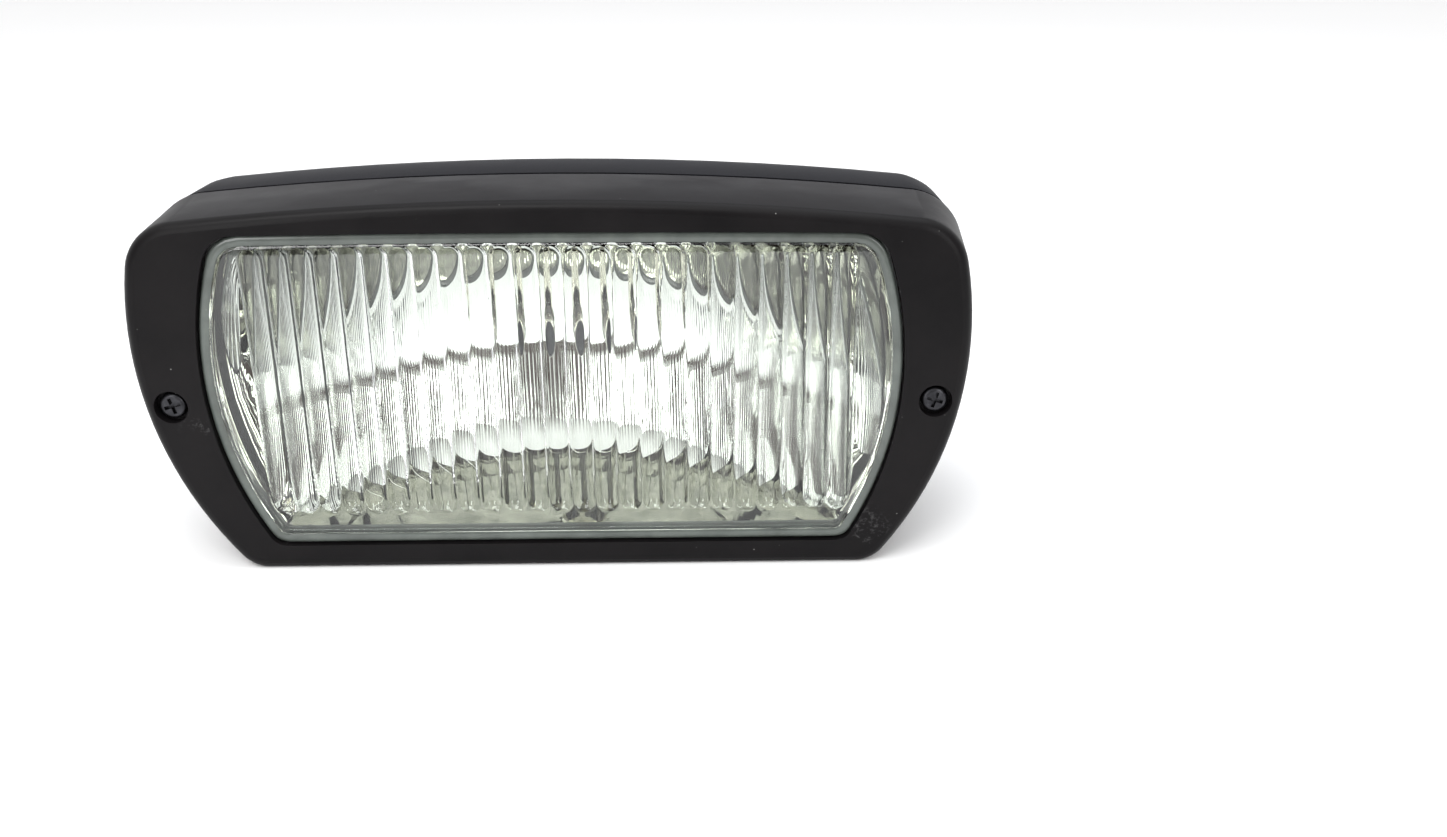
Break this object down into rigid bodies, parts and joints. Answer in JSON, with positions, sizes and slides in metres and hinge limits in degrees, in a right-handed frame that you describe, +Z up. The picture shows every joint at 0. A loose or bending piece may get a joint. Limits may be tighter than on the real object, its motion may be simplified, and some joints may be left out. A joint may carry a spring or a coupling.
{
  "type": "fog light",
  "caption": "Rectangular black fog lamp with a fluted glass lens, on a pivoting sheet-steel bracket with a rubber pad and a threaded mounting stud.",
  "frame": {"origin": "middle of the whole object's bottom, on the surface that the lamp stands on", "axes": "+X across the lamp, to the right when looking at the lens, +Y from the lens to the bracket's tongue, +Z up"},
  "size_m": [0.219, 0.168, 0.0989],
  "materials": {
    "black_plastic": "fine grained black",
    "lens_glass": "clear, fluted",
    "black_rubber": "matt",
    "mirror_metal": "aluminised",
    "zinc_screws": "zinc plated",
    "black_screws": "black phosphated",
    "housing_plastic": "black",
    "sealant": "grey-green silicone",
    "foam": "closed cell foam",
    "plain_steel": "plain",
    "bulb_glass": "clear",
    "tungsten": "drawn",
    "white_ceramic": "unglazed",
    "shield_black": "heat-proof black",
    "zinc_steel": "yellow passivated zinc"
  },
  "bodies": {
    "lamp": {"bezel": "black_plastic", "lens": "lens_glass", "lens_gasket": "sealant", "reflector": "mirror_metal", "reflector_screws": "zinc_screws", "bezel_screws": "black_screws", "housing": "housing_plastic", "housing_seal": "foam", "screw_inserts": "plain_steel", "lug_bush": "plain_steel", "cable_grommet": "black_rubber", "vent_cap": "black_rubber", "bulb_base": "plain_steel", "bulb_glass": "bulb_glass", "bulb_filament": "tungsten", "bulb_contact": "white_ceramic", "bulb_clip": "plain_steel", "bulb_holder": "plain_steel", "bulb_shield": "shield_black"},
    "bracket": {"bracket": "zinc_steel", "pivot_nut": "zinc_steel", "rubber_pad": "black_rubber"},
    "pivot_bolt": {"pivot_bolt": "zinc_steel"},
    "stud_set": {"stud": "zinc_steel", "flat_washer": "zinc_steel", "spring_washer": "plain_steel"},
    "stud_nut": {"stud_nut": "zinc_steel"}
  },
  "joints": [
    {"name": "bracket_tilt", "type": "hinge", "parent": "lamp", "child": "bracket", "pos_m": [0, 0.0175, 0.011], "axis": [1, 0, 0], "range_deg": [-15, 25]},
    {"name": "pivot_bolt_turn", "type": "hinge", "parent": "bracket", "child": "pivot_bolt", "pos_m": [0, 0.0175, 0.011], "axis": [1, 0, 0], "continuous": true},
    {"name": "stud_swivel", "type": "hinge", "parent": "bracket", "child": "stud_set", "pos_m": [0, 0.0555, 0.037], "axis": [0, 0, 1], "continuous": true},
    {"name": "stud_nut_turn", "type": "hinge", "parent": "stud_set", "child": "stud_nut", "pos_m": [0, 0.0555, 0.045], "axis": [0, 0, 1], "continuous": true}
  ]
}
